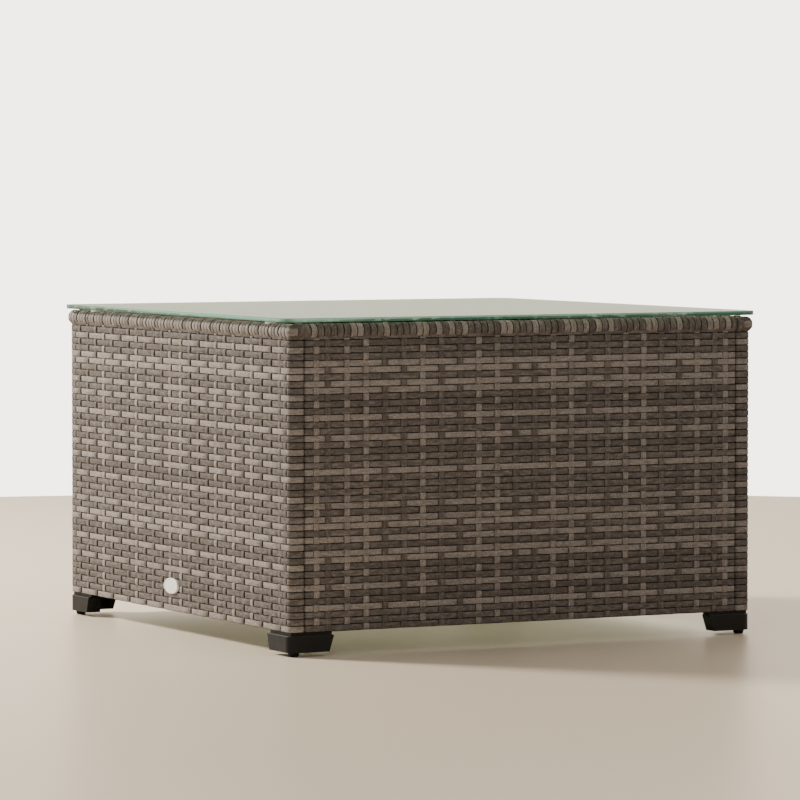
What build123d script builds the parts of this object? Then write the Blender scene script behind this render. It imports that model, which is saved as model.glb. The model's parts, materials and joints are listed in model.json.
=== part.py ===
from build123d import *
import os

# Square garden coffee table: a glass sheet lies on four wrapped top rails over four woven panels.
# The left and right panels are welded frames with the corner posts; the front and back panels are
# lighter frames bolted between the posts. Black corner feet carry the levelling glides.
# Millimetres, +Z up, origin on the floor under the centre. Front is -Y, the badge is on the left, -X.

# Overall size
table_width = 620.0
table_depth = 620.0
table_height = 380.0

# Glass sheet and the clear pads under it
glass_thickness = 5.0
glass_corner_radius = 20.0
glass_bevel = 0.5
glass_pad_height = 1.6
glass_pad_radius = 6.0
glass_pad_from_end = 70.0

# Steel tubes
rail_tube_radius = 7.5
post_side = 16.0
post_corner_radius = 5.0
brace_side = 12.0
brace_corner_radius = 2.0
tube_wall = 1.2
cope_depth = 3.0

# Strands: one layer where they wrap a tube, two layers where they cross in a panel
strand = 1.5
woven_sheet = 2 * strand
rail_setback = 6.0
face_setback = 8.0
rail_to_weave_gap = 0.3
panel_gap = 0.6
weave_bottom = 27.2

# End caps of the side rails
cap_face = 1.5
cap_spigot = 10.0
cap_edge_radius = 1.0

# Corner feet
foot_bottom = 4.8
foot_lip_top = 23.8
foot_proud = 1.2
foot_arm_length = 56.5
foot_arm_slope = 6.0
foot_arm_width = 18.0
foot_corner_radius = 10.0
foot_edge = 1.0
ledge_inset = 4.0

# Levelling glides
glide_top_radius = 6.8
glide_bottom_radius = 5.6
glide_edge = 0.6
glide_floor = 1.2
glide_lip = 1.2
stud_radius = 4.0
stud_head_radius = 4.9
stud_reach = 18.0
insert_height = 22.0
stud_clearance = 0.05
glide_clearance = 0.08
head_clearance = 0.1
foot_stud_clearance = 0.6

# Bolts that hold the front and back panels to the posts
bolt_radius = 2.5
bolt_length = 25.0
bolt_head_radius = 4.25
bolt_head_height = 5.0
bolt_socket = 4.0
bolt_socket_depth = 2.5
bolt_low = 90.0
bolt_high = 300.0
bolt_hole_clearance = 0.3
washer_radius = 5.0
washer_thickness = 1.0
washer_room = 0.6
rivet_nut_radius = 3.5
rivet_nut_length = 10.0
rivet_nut_flange_radius = 5.0
rivet_nut_flange = 0.8
rivet_nut_clearance = 0.05

# Screws that hold the feet to the bottom rails
foot_screw_radius = 1.9
foot_screw_head_radius = 3.7
foot_screw_head_height = 2.4
foot_screw_length = 14.0
foot_screw_from_corner = 43.0
foot_screw_clearance = 0.3
foot_screw_bite = 0.05
foot_counterbore = 11.0

# Oval badge on the left panel
badge_length = 38.0
badge_height = 18.5
badge_thickness = 2.6
badge_edge = 0.6
badge_rim = 1.6
badge_recess = 0.4
badge_centre_y = 8.0
badge_centre_z = 56.7
badge_pin_radius = 1.1
badge_pin_spacing = 22.0
badge_pin_tail = 2.4
badge_pin_clearance = 0.05
badge_clip_radius = 3.5
badge_clip_thickness = 0.8

# Places that several pieces share
wrapped_rail_radius = rail_tube_radius + strand
rail_bore_radius = rail_tube_radius - tube_wall
rail_x = table_width / 2 - rail_setback - wrapped_rail_radius
rail_y = table_depth / 2 - rail_setback - wrapped_rail_radius
rail_z = table_height - glass_thickness - glass_pad_height - wrapped_rail_radius
rail_end_y = table_depth / 2 - rail_setback - cap_face
face_x = table_width / 2 - face_setback
face_y = table_depth / 2 - face_setback
wrapped_post = post_side + 2 * strand
wrapped_brace = brace_side + 2 * strand
post_x = face_x - wrapped_post / 2
post_y = face_y - wrapped_post / 2
upright_x = post_x - wrapped_post / 2 - panel_gap - wrapped_brace / 2
upright_y = face_y - wrapped_brace / 2
panel_rail_end_x = post_x - post_side / 2 - panel_gap
weave_top = rail_z - wrapped_rail_radius - rail_to_weave_gap
weave_height = weave_top - weave_bottom
tube_top = rail_z - rail_tube_radius + cope_depth
low_rail_z = weave_bottom + strand + brace_side / 2
side_low_rail_x = face_x - woven_sheet - brace_side / 2
panel_low_rail_y = face_y - woven_sheet - brace_side / 2
side_low_rail_end = post_y - post_side / 2
panel_low_rail_end = upright_x - brace_side / 2
foot_outer_x = face_x + foot_proud
foot_outer_y = face_y + foot_proud
side_foot_screw_y = foot_outer_y - foot_screw_from_corner
panel_foot_screw_x = foot_outer_x - foot_screw_from_corner

sides = {"left": -1, "right": 1}
ends = {"front": -1, "back": 1}
from_bottom = (Align.CENTER, Align.CENTER, Align.MIN)


def save(piece, name):
    piece.part.label = name
    export_step(piece.part, f"parts/{name}.step")


# A plane at one end of a run along X or Y, facing along it
def across_x(start, y, z, direction=1):
    return Plane(origin=(start, y, z), x_dir=(0, 1, 0), z_dir=(direction, 0, 0))


def across_y(x, start, z, direction=1):
    return Plane(origin=(x, start, z), x_dir=(1, 0, 0), z_dir=(0, direction, 0))


# One plane on the inner face of a panel upright for each bolt, facing the post
def bolt_planes(sign_x=None, sign_y=None):
    planes = []
    for side in (-1, 1) if sign_x is None else (sign_x,):
        for end in (-1, 1) if sign_y is None else (sign_y,):
            for height in (bolt_low, bolt_high):
                start = side * (upright_x - brace_side / 2)
                planes.append(across_x(start, end * upright_y, height, side))
    return planes


# One point under each bottom rail end, where a foot screw goes up into the rail
def side_foot_screw_points(side):
    return [(side * side_low_rail_x, end * side_foot_screw_y) for end in (-1, 1)]


def panel_foot_screw_points(end):
    return [(side * panel_foot_screw_x, end * panel_low_rail_y) for side in (-1, 1)]


def badge_pin_places():
    return [(offset, 0) for offset in (-badge_pin_spacing / 2, badge_pin_spacing / 2)]


def make_glass_top():
    with BuildPart() as glass:
        with BuildSketch(Plane.XY.offset(table_height - glass_thickness)):
            RectangleRounded(table_width, table_depth, glass_corner_radius)
        extrude(amount=glass_thickness)
        chamfer(glass.faces().filter_by(Axis.Z).edges(), length=glass_bevel)
    save(glass, "glass_top")


def make_glass_pads():
    pad_y = table_depth / 2 - glass_pad_from_end
    pad_bottom = rail_z + rail_tube_radius
    with BuildPart() as pads:
        with BuildSketch(Plane.XY.offset(pad_bottom)):
            with Locations([(x, y) for x in (-rail_x, rail_x) for y in (-pad_y, pad_y)]):
                Circle(glass_pad_radius)
        extrude(amount=table_height - glass_thickness - pad_bottom)
        for x in (-rail_x, rail_x):
            with BuildSketch(across_y(x, -table_depth / 2, rail_z)):
                Circle(wrapped_rail_radius)
            extrude(amount=table_depth, mode=Mode.SUBTRACT)
    save(pads, "glass_pads")


# Top rails: round steel tube
def make_side_top_rail(name, side):
    with BuildPart() as rail:
        with BuildSketch(across_y(side * rail_x, -rail_end_y, rail_z)):
            Circle(rail_tube_radius)
            Circle(rail_bore_radius, mode=Mode.SUBTRACT)
        extrude(amount=2 * rail_end_y)
    save(rail, f"{name}_top_rail_tube")


def make_panel_top_rail(name, end):
    with BuildPart() as rail:
        with BuildSketch(across_x(-panel_rail_end_x, end * rail_y, rail_z)):
            Circle(rail_tube_radius)
            Circle(rail_bore_radius, mode=Mode.SUBTRACT)
        extrude(amount=2 * panel_rail_end_x)
    save(rail, f"{name}_top_rail_tube")


# Strands wound round the top rails, as one sleeve each, open where the posts and uprights come up
def make_side_rail_wrap(name, side):
    with BuildPart() as wrap:
        with BuildSketch(across_y(side * rail_x, -rail_end_y, rail_z)):
            Circle(wrapped_rail_radius)
            Circle(rail_tube_radius, mode=Mode.SUBTRACT)
        extrude(amount=2 * rail_end_y)
        with BuildSketch(Plane.XY.offset(weave_bottom)):
            with Locations((side * post_x, -post_y), (side * post_x, post_y)):
                Rectangle(post_side, post_side)
        extrude(amount=tube_top - weave_bottom, mode=Mode.SUBTRACT)
    save(wrap, f"{name}_rail_wrap")


def make_panel_rail_wrap(name, end):
    with BuildPart() as wrap:
        with BuildSketch(across_x(-panel_rail_end_x, end * rail_y, rail_z)):
            Circle(wrapped_rail_radius)
            Circle(rail_tube_radius, mode=Mode.SUBTRACT)
        extrude(amount=2 * panel_rail_end_x)
        with BuildSketch(Plane.XY.offset(weave_bottom)):
            with Locations((-upright_x, end * upright_y), (upright_x, end * upright_y)):
                Rectangle(brace_side, brace_side)
        extrude(amount=tube_top - weave_bottom, mode=Mode.SUBTRACT)
    save(wrap, f"{name}_rail_wrap")


def make_rail_end_cap(name, side, end):
    spigot_start = rail_end_y - cap_spigot
    with BuildPart() as cap:
        with BuildSketch(across_y(side * rail_x, end * rail_end_y, rail_z, end)):
            Circle(wrapped_rail_radius)
        extrude(amount=cap_face)
        outer_face = cap.faces().sort_by(Axis.Y)[0 if end < 0 else -1]
        fillet(outer_face.edges(), radius=cap_edge_radius)
        with BuildSketch(across_y(side * rail_x, end * spigot_start, rail_z, end)):
            Circle(rail_bore_radius)
        extrude(amount=cap_spigot)
    save(cap, f"{name}_rail_end_cap")


# Corner posts: square tube, coped to the top rail, with a plate welded over the top
def make_post(name, side, end):
    with BuildPart() as post:
        with BuildSketch(Plane.XY.offset(weave_bottom)):
            with Locations((side * post_x, end * post_y)):
                RectangleRounded(post_side, post_side, post_corner_radius)
        extrude(amount=tube_top - weave_bottom)
        with BuildSketch(Plane.XY.offset(weave_bottom)):
            with Locations((side * post_x, end * post_y)):
                bore = post_side - 2 * tube_wall
                RectangleRounded(bore, bore, post_corner_radius - tube_wall)
        extrude(amount=tube_top - tube_wall - weave_bottom, mode=Mode.SUBTRACT)
        with BuildSketch(across_y(side * rail_x, -table_depth / 2, rail_z)):
            Circle(rail_tube_radius)
        extrude(amount=table_depth, mode=Mode.SUBTRACT)
        with Locations(*bolt_planes(side, end)):
            with Locations((0, 0, brace_side + 2 * strand + panel_gap)):
                Cylinder(rivet_nut_radius, post_side / 2, align=from_bottom, mode=Mode.SUBTRACT)
    save(post, f"{name}_post")


# Uprights of the front and back panels
def make_panel_upright(name, side, end):
    with BuildPart() as upright:
        with BuildSketch(Plane.XY.offset(weave_bottom)):
            with Locations((side * upright_x, end * upright_y)):
                RectangleRounded(brace_side, brace_side, brace_corner_radius)
        extrude(amount=tube_top - weave_bottom)
        with BuildSketch(Plane.XY.offset(weave_bottom)):
            with Locations((side * upright_x, end * upright_y)):
                bore = brace_side - 2 * tube_wall
                RectangleRounded(bore, bore, brace_corner_radius - tube_wall)
        extrude(amount=tube_top - tube_wall - weave_bottom, mode=Mode.SUBTRACT)
        with BuildSketch(across_x(-table_width / 2, end * rail_y, rail_z)):
            Circle(rail_tube_radius)
        extrude(amount=table_width, mode=Mode.SUBTRACT)
        with Locations(*bolt_planes(side, end)):
            bolt_hole = bolt_radius + bolt_hole_clearance
            Cylinder(bolt_hole, brace_side, align=from_bottom, mode=Mode.SUBTRACT)
    save(upright, f"{name}_panel_upright")


def rail_profile():
    RectangleRounded(brace_side, brace_side, brace_corner_radius)
    bore = brace_side - 2 * tube_wall
    RectangleRounded(bore, bore, brace_corner_radius - tube_wall, mode=Mode.SUBTRACT)


def make_side_low_rail(name, side):
    with BuildPart() as rail:
        with BuildSketch(across_y(side * side_low_rail_x, -side_low_rail_end, low_rail_z)):
            rail_profile()
        extrude(amount=2 * side_low_rail_end)
        with BuildSketch(Plane.XY.offset(weave_bottom)):
            with Locations(side_foot_screw_points(side)):
                Circle(foot_screw_radius + foot_screw_bite)
        extrude(amount=strand + brace_side / 2, mode=Mode.SUBTRACT)
    save(rail, f"{name}_bottom_rail")


def make_panel_low_rail(name, end):
    with BuildPart() as rail:
        with BuildSketch(across_x(-panel_low_rail_end, end * panel_low_rail_y, low_rail_z)):
            rail_profile()
        extrude(amount=2 * panel_low_rail_end)
        with BuildSketch(Plane.XY.offset(weave_bottom)):
            with Locations(panel_foot_screw_points(end)):
                Circle(foot_screw_radius + foot_screw_bite)
        extrude(amount=strand + brace_side / 2, mode=Mode.SUBTRACT)
    save(rail, f"{name}_bottom_rail")


# Woven panel of a side: a sheet of crossed strands that goes round both posts and the bottom rail
def make_side_weave(name, side):
    hem_depth = woven_sheet + brace_side + strand
    hem_x = side * (face_x - hem_depth / 2)
    with BuildPart() as weave:
        with BuildSketch(Plane.XY.offset(weave_bottom)):
            with Locations((side * (face_x - woven_sheet / 2), 0)):
                Rectangle(woven_sheet, 2 * post_y)
            with Locations((side * post_x, -post_y), (side * post_x, post_y)):
                RectangleRounded(wrapped_post, wrapped_post, post_corner_radius + strand)
        extrude(amount=weave_height)
        with BuildSketch(Plane.XY.offset(weave_bottom)):
            with Locations((hem_x, 0)):
                Rectangle(hem_depth, 2 * post_y - post_side)
        extrude(amount=wrapped_brace)
        with BuildSketch(Plane.XY.offset(weave_bottom)):
            with Locations((side * post_x, -post_y), (side * post_x, post_y)):
                RectangleRounded(post_side, post_side, post_corner_radius)
        extrude(amount=weave_height, mode=Mode.SUBTRACT)
        with BuildSketch(across_y(side * side_low_rail_x, -side_low_rail_end, low_rail_z)):
            RectangleRounded(brace_side, brace_side, brace_corner_radius)
        extrude(amount=2 * side_low_rail_end, mode=Mode.SUBTRACT)
        with BuildSketch(Plane.XY.offset(weave_bottom)):
            with Locations(side_foot_screw_points(side)):
                Circle(foot_screw_radius + foot_screw_clearance)
        extrude(amount=2 * strand, mode=Mode.SUBTRACT)
        with Locations(*bolt_planes(side)):
            with Locations((0, 0, brace_side + strand)):
                flange_hole = rivet_nut_flange_radius + rivet_nut_clearance
                flange_depth = 2 * strand + panel_gap
                Cylinder(flange_hole, flange_depth, align=from_bottom, mode=Mode.SUBTRACT)
        if name == "left":
            with Locations(across_x(-face_x, badge_centre_y, badge_centre_z)):
                with Locations(badge_pin_places()):
                    pin_hole = badge_pin_radius + badge_pin_clearance
                    Cylinder(pin_hole, woven_sheet, align=from_bottom, mode=Mode.SUBTRACT)
    save(weave, f"{name}_weave")


# Woven panel of the front or back: the same, round the two uprights and the bottom rail
def make_panel_weave(name, end):
    hem_depth = woven_sheet + brace_side + strand
    hem_y = end * (face_y - hem_depth / 2)
    with BuildPart() as weave:
        with BuildSketch(Plane.XY.offset(weave_bottom)):
            with Locations((0, end * (face_y - woven_sheet / 2))):
                Rectangle(2 * upright_x, woven_sheet)
            with Locations((-upright_x, end * upright_y), (upright_x, end * upright_y)):
                RectangleRounded(wrapped_brace, wrapped_brace, brace_corner_radius + strand)
        extrude(amount=weave_height)
        with BuildSketch(Plane.XY.offset(weave_bottom)):
            with Locations((0, hem_y)):
                Rectangle(2 * upright_x - brace_side, hem_depth)
        extrude(amount=wrapped_brace)
        with BuildSketch(Plane.XY.offset(weave_bottom)):
            with Locations((-upright_x, end * upright_y), (upright_x, end * upright_y)):
                RectangleRounded(brace_side, brace_side, brace_corner_radius)
        extrude(amount=weave_height, mode=Mode.SUBTRACT)
        with BuildSketch(across_x(-panel_low_rail_end, end * panel_low_rail_y, low_rail_z)):
            RectangleRounded(brace_side, brace_side, brace_corner_radius)
        extrude(amount=2 * panel_low_rail_end, mode=Mode.SUBTRACT)
        with BuildSketch(Plane.XY.offset(weave_bottom)):
            with Locations(panel_foot_screw_points(end)):
                Circle(foot_screw_radius + foot_screw_clearance)
        extrude(amount=2 * strand, mode=Mode.SUBTRACT)
        with Locations(*bolt_planes(sign_y=end)):
            with Locations((0, 0, -2 * strand)):
                washer_hole = washer_radius + washer_room
                Cylinder(washer_hole, 2 * strand, align=from_bottom, mode=Mode.SUBTRACT)
            with Locations((0, 0, brace_side)):
                bolt_hole = bolt_radius + bolt_hole_clearance
                Cylinder(bolt_hole, 2 * strand, align=from_bottom, mode=Mode.SUBTRACT)
    save(weave, f"{name}_weave")


# Corner foot: an L of moulded plastic with sloped arm ends, a lip outside and a higher ledge inside
def make_corner_foot(name, side, end):
    outer_x = side * foot_outer_x
    outer_y = end * foot_outer_y
    arm_end_x = side * (foot_outer_x - foot_arm_length)
    arm_end_y = end * (foot_outer_y - foot_arm_length)
    inner_x = side * (foot_outer_x - foot_arm_width)
    inner_y = end * (foot_outer_y - foot_arm_width)
    ledge_x = side * (foot_outer_x - ledge_inset)
    ledge_y = end * (foot_outer_y - ledge_inset)
    lip_height = foot_lip_top - foot_bottom
    with BuildPart() as foot:
        with BuildSketch(Plane.XY.offset(foot_bottom)):
            with BuildLine():
                Polyline(
                    (outer_x, outer_y), (arm_end_x, outer_y), (arm_end_x, inner_y),
                    (inner_x, inner_y), (inner_x, arm_end_y), (outer_x, arm_end_y), close=True,
                )
            make_face()
        extrude(amount=lip_height)
        upright_edges = foot.edges().filter_by(Axis.Z)
        corner_edge = upright_edges.sort_by(lambda edge: side * edge.center().X + end * edge.center().Y)[-1]
        fillet(corner_edge, radius=foot_corner_radius)
        chamfer(foot.faces().sort_by(Axis.Z)[-1].edges(), length=foot_edge)
        with BuildSketch(Plane.XY.offset(foot_bottom)):
            with BuildLine():
                Polyline(
                    (ledge_x, ledge_y), (arm_end_x + side * foot_edge, ledge_y),
                    (arm_end_x + side * foot_edge, inner_y + end * foot_edge),
                    (inner_x + side * foot_edge, inner_y + end * foot_edge),
                    (inner_x + side * foot_edge, arm_end_y + end * foot_edge),
                    (ledge_x, arm_end_y + end * foot_edge), close=True,
                )
            make_face()
        extrude(amount=weave_bottom - foot_bottom)
        slope_x = arm_end_x + side * foot_arm_slope
        with BuildSketch(across_y(0, -table_depth / 2, 0)) as x_slope:
            with BuildLine():
                Polyline(
                    (arm_end_x, -foot_lip_top), (arm_end_x, -foot_bottom), (slope_x, -foot_bottom), close=True,
                )
            make_face()
        extrude(amount=table_depth, mode=Mode.SUBTRACT)
        slope_y = arm_end_y + end * foot_arm_slope
        with BuildSketch(across_x(-table_width / 2, 0, 0)) as y_slope:
            with BuildLine():
                Polyline(
                    (arm_end_y, foot_lip_top), (arm_end_y, foot_bottom), (slope_y, foot_bottom), close=True,
                )
            make_face()
        extrude(amount=table_width, mode=Mode.SUBTRACT)
        with Locations((side * post_x, end * post_y, foot_bottom)):
            stud_hole = stud_radius + foot_stud_clearance
            Cylinder(stud_hole, weave_bottom - foot_bottom, align=from_bottom, mode=Mode.SUBTRACT)
        screw_points = [
            (side * side_low_rail_x, end * side_foot_screw_y),
            (side * panel_foot_screw_x, end * panel_low_rail_y),
        ]
        with Locations(Plane.XY.offset(foot_bottom)):
            with Locations(screw_points):
                head_hole = foot_screw_head_radius + foot_screw_clearance
                Cylinder(head_hole, foot_counterbore, align=from_bottom, mode=Mode.SUBTRACT)
                screw_hole = foot_screw_radius + foot_screw_clearance
                Cylinder(screw_hole, weave_bottom - foot_bottom, align=from_bottom, mode=Mode.SUBTRACT)
    save(foot, f"{name}_foot")


# Threaded plug pressed into the foot of each post
def make_post_insert(name, side, end):
    with BuildPart() as insert:
        with BuildSketch(Plane.XY.offset(weave_bottom)):
            with Locations((side * post_x, end * post_y)):
                bore = post_side - 2 * tube_wall
                RectangleRounded(bore, bore, post_corner_radius - tube_wall)
                Circle(stud_radius + stud_clearance, mode=Mode.SUBTRACT)
        extrude(amount=insert_height)
    save(insert, f"{name}_post_insert")


# Levelling glide: a tapered nylon foot that holds the head of a stud, which turns in it
def make_glide(name, side, end):
    with BuildPart() as glide:
        with BuildSketch(Plane.XY):
            with Locations((side * post_x, end * post_y)):
                Circle(glide_bottom_radius)
        with BuildSketch(Plane.XY.offset(foot_bottom)):
            with Locations((side * post_x, end * post_y)):
                Circle(glide_top_radius)
        loft()
        chamfer(glide.faces().sort_by(Axis.Z)[0].edges(), length=glide_edge)
        with Locations((side * post_x, end * post_y, glide_floor)):
            pocket = foot_bottom - glide_floor - glide_lip
            pocket_radius = stud_head_radius + head_clearance
            Cylinder(pocket_radius, pocket, align=from_bottom, mode=Mode.SUBTRACT)
            neck_radius = stud_radius + glide_clearance
            Cylinder(neck_radius, foot_bottom - glide_floor, align=from_bottom, mode=Mode.SUBTRACT)
    save(glide, f"{name}_glide")


def make_leveller_stud(name, side, end):
    head_bottom = glide_floor + head_clearance
    head_top = foot_bottom - glide_lip - head_clearance
    stud_top = weave_bottom + stud_reach
    with BuildPart() as stud:
        with Locations((side * post_x, end * post_y, head_bottom)):
            Cylinder(stud_head_radius, head_top - head_bottom, align=from_bottom)
            Cylinder(stud_radius, stud_top - head_bottom, align=from_bottom)
        chamfer(stud.faces().sort_by(Axis.Z)[-1].edges(), length=glide_edge)
    save(stud, f"{name}_leveller_stud")


def make_panel_bolts():
    with BuildPart() as bolts:
        with Locations(*bolt_planes()):
            with Locations((0, 0, -washer_thickness)):
                Cylinder(bolt_radius, bolt_length, align=from_bottom)
            with Locations((0, 0, -washer_thickness - bolt_head_height)):
                Cylinder(bolt_head_radius, bolt_head_height, align=from_bottom)
                socket_radius = bolt_socket / 2
                Cylinder(socket_radius, bolt_socket_depth, align=from_bottom, mode=Mode.SUBTRACT)
    save(bolts, "panel_bolts")


def make_panel_washers():
    with BuildPart() as washers:
        with Locations(*bolt_planes()):
            with Locations((0, 0, -washer_thickness)):
                Cylinder(washer_radius, washer_thickness, align=from_bottom)
                washer_hole = bolt_radius + bolt_hole_clearance
                Cylinder(washer_hole, washer_thickness, align=from_bottom, mode=Mode.SUBTRACT)
    save(washers, "panel_washers")


def make_rivet_nuts():
    post_face = brace_side + 2 * strand + panel_gap
    with BuildPart() as nuts:
        with Locations(*bolt_planes()):
            with Locations((0, 0, post_face - rivet_nut_flange)):
                Cylinder(rivet_nut_flange_radius, rivet_nut_flange, align=from_bottom)
                length = rivet_nut_flange + rivet_nut_length
                Cylinder(rivet_nut_radius, length, align=from_bottom)
                thread_radius = bolt_radius + rivet_nut_clearance
                Cylinder(thread_radius, length, align=from_bottom, mode=Mode.SUBTRACT)
    save(nuts, "post_rivet_nuts")


def make_foot_screws():
    points = []
    for sign in (-1, 1):
        points += side_foot_screw_points(sign)
        points += panel_foot_screw_points(sign)
    seat = foot_bottom + foot_counterbore
    with BuildPart() as screws:
        with Locations(Plane.XY.offset(seat)):
            with Locations(points):
                Cylinder(foot_screw_radius, foot_screw_length, align=from_bottom)
        with Locations(Plane.XY.offset(seat - foot_screw_head_height)):
            with Locations(points):
                Cylinder(foot_screw_head_radius, foot_screw_head_height, align=from_bottom)
    save(screws, "foot_screws")


# Blank oval badge with a raised rim, held by two pins and push-on clips behind the weave
def make_badge():
    with BuildPart() as badge:
        with BuildSketch(across_x(-face_x, badge_centre_y, badge_centre_z, -1)):
            Ellipse(badge_length / 2, badge_height / 2)
        extrude(amount=badge_thickness)
        chamfer(badge.faces().sort_by(Axis.X)[0].edges(), length=badge_edge)
        recess_plane = across_x(-face_x - badge_thickness, badge_centre_y, badge_centre_z)
        with BuildSketch(recess_plane):
            Ellipse(badge_length / 2 - badge_rim, badge_height / 2 - badge_rim)
        extrude(amount=badge_recess, mode=Mode.SUBTRACT)
    save(badge, "badge")


def make_badge_pins():
    with BuildPart() as pins:
        with Locations(across_x(-face_x, badge_centre_y, badge_centre_z)):
            with Locations(badge_pin_places()):
                pin_length = woven_sheet + badge_pin_tail
                Cylinder(badge_pin_radius, pin_length, align=from_bottom)
    save(pins, "badge_pins")


def make_badge_clips():
    with BuildPart() as clips:
        with Locations(across_x(-face_x + woven_sheet, badge_centre_y, badge_centre_z)):
            with Locations(badge_pin_places()):
                Cylinder(badge_clip_radius, badge_clip_thickness, align=from_bottom)
                clip_hole = badge_pin_radius + badge_pin_clearance
                Cylinder(clip_hole, badge_clip_thickness, align=from_bottom, mode=Mode.SUBTRACT)
    save(clips, "badge_clips")


os.makedirs("parts", exist_ok=True)
make_glass_top()
make_glass_pads()
for side_name, side_sign in sides.items():
    make_side_top_rail(side_name, side_sign)
    make_side_rail_wrap(side_name, side_sign)
    make_side_low_rail(side_name, side_sign)
    make_side_weave(side_name, side_sign)
for end_name, end_sign in ends.items():
    make_panel_top_rail(end_name, end_sign)
    make_panel_rail_wrap(end_name, end_sign)
    make_panel_low_rail(end_name, end_sign)
    make_panel_weave(end_name, end_sign)
for end_name, end_sign in ends.items():
    for side_name, side_sign in sides.items():
        corner = f"{end_name}_{side_name}"
        make_rail_end_cap(corner, side_sign, end_sign)
        make_post(corner, side_sign, end_sign)
        make_panel_upright(corner, side_sign, end_sign)
        make_corner_foot(corner, side_sign, end_sign)
        make_post_insert(corner, side_sign, end_sign)
        make_glide(corner, side_sign, end_sign)
        make_leveller_stud(corner, side_sign, end_sign)
make_panel_bolts()
make_panel_washers()
make_rivet_nuts()
make_foot_screws()
make_badge()
make_badge_pins()
make_badge_clips()
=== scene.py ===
import json
import math
import random

import bmesh
import bpy
from mathutils import Euler, Matrix, Vector


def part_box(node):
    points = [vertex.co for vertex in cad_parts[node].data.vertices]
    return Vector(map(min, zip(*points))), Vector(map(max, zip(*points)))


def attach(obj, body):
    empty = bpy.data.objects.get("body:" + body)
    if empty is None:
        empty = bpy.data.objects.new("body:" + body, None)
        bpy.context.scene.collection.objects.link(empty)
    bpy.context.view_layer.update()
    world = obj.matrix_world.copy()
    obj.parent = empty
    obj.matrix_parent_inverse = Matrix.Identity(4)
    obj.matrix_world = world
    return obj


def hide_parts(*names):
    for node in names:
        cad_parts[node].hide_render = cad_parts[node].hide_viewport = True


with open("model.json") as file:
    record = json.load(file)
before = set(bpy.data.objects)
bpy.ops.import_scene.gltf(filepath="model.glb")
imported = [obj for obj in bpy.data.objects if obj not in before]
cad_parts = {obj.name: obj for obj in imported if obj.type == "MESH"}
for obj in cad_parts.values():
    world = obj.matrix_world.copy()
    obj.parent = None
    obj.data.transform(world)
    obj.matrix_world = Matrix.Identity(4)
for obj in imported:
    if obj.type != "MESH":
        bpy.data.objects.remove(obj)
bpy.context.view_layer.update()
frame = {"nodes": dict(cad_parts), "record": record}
mm = 0.001
nodes = frame["nodes"]
print("frame loaded:", len(nodes), "nodes")

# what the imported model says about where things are
panelLow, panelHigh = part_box("front_weave")
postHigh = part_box("front_left_post")[1]
uprightLow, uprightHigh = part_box("front_left_panel_upright")
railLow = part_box("front_rail_wrap")[0]
sideRailLow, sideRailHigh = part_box("left_rail_wrap")
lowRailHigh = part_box("front_bottom_rail")[1]
faceX = -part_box("left_weave")[0].x
faceY = -panelLow.y
quarter = math.pi / 2

strand = dict(
    thickness=1.5 * mm,
    weftWidth=6.6 * mm,
    warpWidth=7.5 * mm,
    flare=0.82 * mm,  # the back of a row is wider, so rows meet behind the dark line between them
    edge=0.36 * mm,
    layer=1.5 * mm,  # how far the outer layer lies above the inner one
    faceDepth=1.2 * mm,  # strands dip only this near the face
    rowCount=43,
)
strandWobble = dict(
    inward=0.5,  # shares of the wobble
    upDown=0.9,
    idStep=3.7,  # sets each strand's unevenness apart from its neighbour's
)


# small helpers for node trees

def addNode(tree, kind, **settings):
    node = tree.nodes.new(kind)
    for key, value in settings.items():
        setattr(node, key, value)
    return node


def feed(tree, socket, value):
    if isinstance(value, bpy.types.NodeSocket):
        tree.links.new(value, socket)
    else:
        socket.default_value = value


def calc(tree, operation, a, b=None, c=None, clamp=False):
    node = addNode(tree, "ShaderNodeMath", operation=operation, use_clamp=clamp)
    for place, value in enumerate((a, b, c)):
        if value is not None:
            feed(tree, node.inputs[place], value)
    return node.outputs[0]


def vectorCalc(tree, operation, a, b=None, scale=None):
    node = addNode(tree, "ShaderNodeVectorMath", operation=operation)
    feed(tree, node.inputs[0], a)
    if b is not None:
        feed(tree, node.inputs[1], b)
    if scale is not None:
        feed(tree, node.inputs["Scale"], scale)
    return node.outputs[0]


def joinVector(tree, x, y, z):
    node = addNode(tree, "ShaderNodeCombineXYZ")
    for place, value in enumerate((x, y, z)):
        feed(tree, node.inputs[place], value)
    return node.outputs[0]


# the strand tree: one strand per point, laid along a path and dipped under what it crosses

def namedValue(tree, name):
    node = addNode(tree, "GeometryNodeInputNamedAttribute", data_type="FLOAT")
    node.inputs["Name"].default_value = name
    return node.outputs["Attribute"]


def storeValue(tree, geometry, name, value):
    node = addNode(tree, "GeometryNodeStoreNamedAttribute", data_type="FLOAT", domain="POINT")
    node.inputs["Name"].default_value = name
    feed(tree, node.inputs["Geometry"], geometry)
    feed(tree, node.inputs["Value"], value)
    return node.outputs["Geometry"]


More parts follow.
